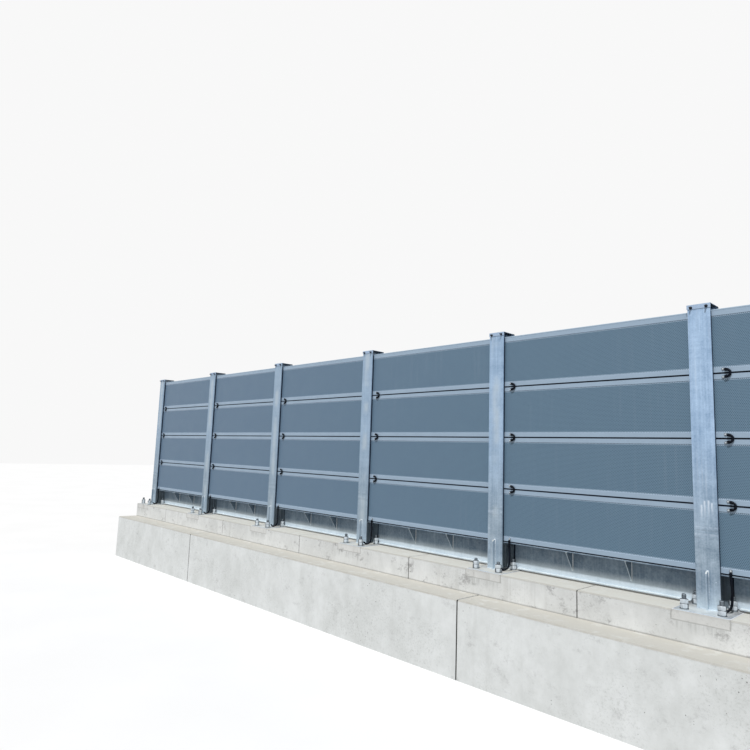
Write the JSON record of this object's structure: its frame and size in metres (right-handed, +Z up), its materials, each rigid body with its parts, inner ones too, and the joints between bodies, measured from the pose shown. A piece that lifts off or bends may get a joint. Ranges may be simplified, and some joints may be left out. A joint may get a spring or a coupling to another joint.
{
  "type": "noise barrier section",
  "caption": "Bays of perforated metal absorber panels held between galvanised H-posts, bolted to a stepped concrete parapet with a ledge in front.",
  "frame": {"origin": "middle of the parapet's underside", "axes": "+X along the barrier, -Y out of the panels' perforated front, +Z up"},
  "size_m": [12.5, 0.8, 3.413],
  "materials": {
    "parapet_concrete": "cast, matt",
    "kerb_concrete": "cast, matt",
    "mortar": "trowelled, matt",
    "galvanised_post": "hot-dip galvanised, weathered",
    "galvanised_beam": "hot-dip galvanised, mottled",
    "galvanised_cap": "hot-dip galvanised",
    "wedge_rubber": "matt",
    "panel_paint": "slate powder coat, perforated",
    "trim_paint": "powder coat, satin",
    "mineral_wool": "matt fleece",
    "end_cap_plastic": "matt",
    "seal_rubber": "matt",
    "cable_sheath": "satin",
    "tinned_copper": "tinned"
  },
  "bodies": {
    "root": {"absorber_cores": "mineral_wool", "beam_1": "galvanised_beam", "beam_2": "galvanised_beam", "beam_3": "galvanised_beam", "beam_4": "galvanised_beam", "beam_5": "galvanised_beam", "beam_6": "galvanised_beam", "cable_lugs": "tinned_copper", "earth_cables": "cable_sheath", "foot_seals": "seal_rubber", "gap_seals": "seal_rubber", "groove_seals": "seal_rubber", "jumper_cables": "cable_sheath", "kerb_1": "kerb_concrete", "kerb_2": "kerb_concrete", "kerb_3": "kerb_concrete", "kerb_4": "kerb_concrete", "kerb_5": "kerb_concrete", "kerb_6": "kerb_concrete", "kerb_7": "kerb_concrete", "mortar_pads": "mortar", "panel_1_1": "panel_paint", "panel_1_2": "panel_paint", "panel_1_3": "panel_paint", "panel_1_4": "panel_paint", "panel_2_1": "panel_paint", "panel_2_2": "panel_paint", "panel_2_3": "panel_paint", "panel_2_4": "panel_paint", "panel_3_1": "panel_paint", "panel_3_2": "panel_paint", "panel_3_3": "panel_paint", "panel_3_4": "panel_paint", "panel_4_1": "panel_paint", "panel_4_2": "panel_paint", "panel_4_3": "panel_paint", "panel_4_4": "panel_paint", "panel_5_1": "panel_paint", "panel_5_2": "panel_paint", "panel_5_3": "panel_paint", "panel_5_4": "panel_paint", "panel_6_1": "panel_paint", "panel_6_2": "panel_paint", "panel_6_3": "panel_paint", "panel_6_4": "panel_paint", "panel_end_caps": "end_cap_plastic", "parapet_wall_1": "parapet_concrete", "parapet_wall_2": "parapet_concrete", "parapet_wall_3": "parapet_concrete", "post_1": "galvanised_post", "post_2": "galvanised_post", "post_3": "galvanised_post", "post_4": "galvanised_post", "post_5": "galvanised_post", "post_6": "galvanised_post", "post_7": "galvanised_post", "post_caps": "galvanised_cap", "top_trims": "trim_paint", "wedge_strips": "wedge_rubber"}
  },
  "joints": []
}
